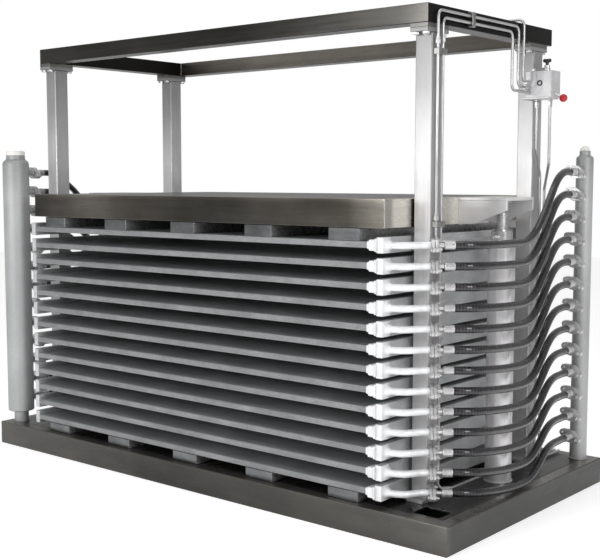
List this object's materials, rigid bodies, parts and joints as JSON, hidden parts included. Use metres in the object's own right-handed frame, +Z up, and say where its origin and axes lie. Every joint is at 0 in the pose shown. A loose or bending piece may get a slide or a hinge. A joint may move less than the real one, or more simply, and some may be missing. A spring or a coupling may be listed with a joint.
{
  "type": "horizontal contact plate freezer",
  "caption": "Horizontal contact plate freezer: stacked aluminium plates in a column frame, lifted apart by twin hydraulic cylinders, fed by braided hoses from upright headers.",
  "frame": {"origin": "centre of the base's underside, on the floor", "axes": "+X along the plates towards the hydraulic valve end, +Y from the loading front to the back, +Z up"},
  "size_m": [2.745, 1.31, 2.0603],
  "materials": {
    "dark_stainless": "satin sheet, dark reflections",
    "deck_stainless": "satin sheet, scuffed",
    "column_stainless": "brushed lengthwise",
    "bright_stainless": "polished",
    "plate_aluminium": "mill finish, edges ground matt",
    "pipe_grey": "blasted matt",
    "rod_chrome": "hard chrome",
    "cap_white": "moulded",
    "hose_braid": "woven steel wire",
    "ball_red": "moulded ball on a steel arm",
    "knob_black": "moulded"
  },
  "bodies": {
    "frame": {"base_frame": "dark_stainless", "deck_plate": "deck_stainless", "bottom_cross_beams": "dark_stainless", "column_front_left": "column_stainless", "column_front_right": "column_stainless", "column_back_left": "column_stainless", "column_back_right": "column_stainless", "column_bolts": "bright_stainless", "top_frame": "dark_stainless", "cylinder_barrel_left": "bright_stainless", "cylinder_barrel_right": "bright_stainless", "cylinder_glands": "bright_stainless", "header_left": "pipe_grey", "header_right": "pipe_grey", "header_flanges_left": "bright_stainless", "header_flanges_right": "bright_stainless", "header_cap_left": "cap_white", "header_cap_right": "cap_white", "cylinder_tubes": "bright_stainless", "supply_tubes": "bright_stainless", "tube_clamps": "bright_stainless", "valve_block": "bright_stainless", "valve_bracket": "bright_stainless", "plate_01": "plate_aluminium", "hoses_01": "hose_braid", "hoses_02": "hose_braid", "hoses_03": "hose_braid", "hoses_04": "hose_braid", "hoses_05": "hose_braid", "hoses_06": "hose_braid", "hoses_07": "hose_braid", "hoses_08": "hose_braid", "hoses_09": "hose_braid", "hoses_10": "hose_braid", "hoses_11": "hose_braid", "hoses_12": "hose_braid", "hoses_13": "hose_braid"},
    "press": {"press_frame": "dark_stainless", "press_cross_beams": "dark_stainless", "lift_bracket_left": "bright_stainless", "lift_bracket_right": "bright_stainless", "bracket_bolts": "bright_stainless", "piston_rod_left": "rod_chrome", "piston_rod_right": "rod_chrome", "plate_13": "plate_aluminium"},
    "valve_lever_arm": {"valve_lever": "ball_red"},
    "valve_adjuster": {"valve_knob": "knob_black"},
    "level_02": {"plate_02": "plate_aluminium"},
    "level_03": {"plate_03": "plate_aluminium"},
    "level_04": {"plate_04": "plate_aluminium"},
    "level_05": {"plate_05": "plate_aluminium"},
    "level_06": {"plate_06": "plate_aluminium"},
    "level_07": {"plate_07": "plate_aluminium"},
    "level_08": {"plate_08": "plate_aluminium"},
    "level_09": {"plate_09": "plate_aluminium"},
    "level_10": {"plate_10": "plate_aluminium"},
    "level_11": {"plate_11": "plate_aluminium"},
    "level_12": {"plate_12": "plate_aluminium"}
  },
  "joints": [
    {"name": "press_lift", "type": "slide", "parent": "frame", "child": "press", "axis": [0, 0, 1], "range_m": [0, 0.54]},
    {"name": "plate_02_lift", "type": "slide", "parent": "frame", "child": "level_02", "axis": [0, 0, 1], "range_m": [0, 0.045]},
    {"name": "plate_03_lift", "type": "slide", "parent": "frame", "child": "level_03", "axis": [0, 0, 1], "range_m": [0, 0.09]},
    {"name": "plate_04_lift", "type": "slide", "parent": "frame", "child": "level_04", "axis": [0, 0, 1], "range_m": [0, 0.135]},
    {"name": "plate_05_lift", "type": "slide", "parent": "frame", "child": "level_05", "axis": [0, 0, 1], "range_m": [0, 0.18]},
    {"name": "plate_06_lift", "type": "slide", "parent": "frame", "child": "level_06", "axis": [0, 0, 1], "range_m": [0, 0.225]},
    {"name": "plate_07_lift", "type": "slide", "parent": "frame", "child": "level_07", "axis": [0, 0, 1], "range_m": [0, 0.27]},
    {"name": "plate_08_lift", "type": "slide", "parent": "frame", "child": "level_08", "axis": [0, 0, 1], "range_m": [0, 0.315]},
    {"name": "plate_09_lift", "type": "slide", "parent": "frame", "child": "level_09", "axis": [0, 0, 1], "range_m": [0, 0.36]},
    {"name": "plate_10_lift", "type": "slide", "parent": "frame", "child": "level_10", "axis": [0, 0, 1], "range_m": [0, 0.405]},
    {"name": "plate_11_lift", "type": "slide", "parent": "frame", "child": "level_11", "axis": [0, 0, 1], "range_m": [0, 0.45]},
    {"name": "plate_12_lift", "type": "slide", "parent": "frame", "child": "level_12", "axis": [0, 0, 1], "range_m": [0, 0.495]},
    {"name": "valve_lever_swing", "type": "hinge", "parent": "frame", "child": "valve_lever_arm", "pos_m": [1.271, 0.329, 1.74], "axis": [1, 0, 0], "range_deg": [-20, 20], "stiffness_Nm_per_rad": 0.8},
    {"name": "valve_knob_turn", "type": "hinge", "parent": "frame", "child": "valve_adjuster", "pos_m": [1.229, 0.329, 1.84], "axis": [0, 0, 1], "continuous": true}
  ],
  "couplings": [
    {"joint": "plate_02_lift", "follows": "press_lift", "ratio": 0.08333},
    {"joint": "plate_03_lift", "follows": "press_lift", "ratio": 0.16666},
    {"joint": "plate_04_lift", "follows": "press_lift", "ratio": 0.25},
    {"joint": "plate_05_lift", "follows": "press_lift", "ratio": 0.33333},
    {"joint": "plate_06_lift", "follows": "press_lift", "ratio": 0.41666},
    {"joint": "plate_07_lift", "follows": "press_lift", "ratio": 0.5},
    {"joint": "plate_08_lift", "follows": "press_lift", "ratio": 0.58333},
    {"joint": "plate_09_lift", "follows": "press_lift", "ratio": 0.66666},
    {"joint": "plate_10_lift", "follows": "press_lift", "ratio": 0.75},
    {"joint": "plate_11_lift", "follows": "press_lift", "ratio": 0.83333},
    {"joint": "plate_12_lift", "follows": "press_lift", "ratio": 0.91666}
  ]
}
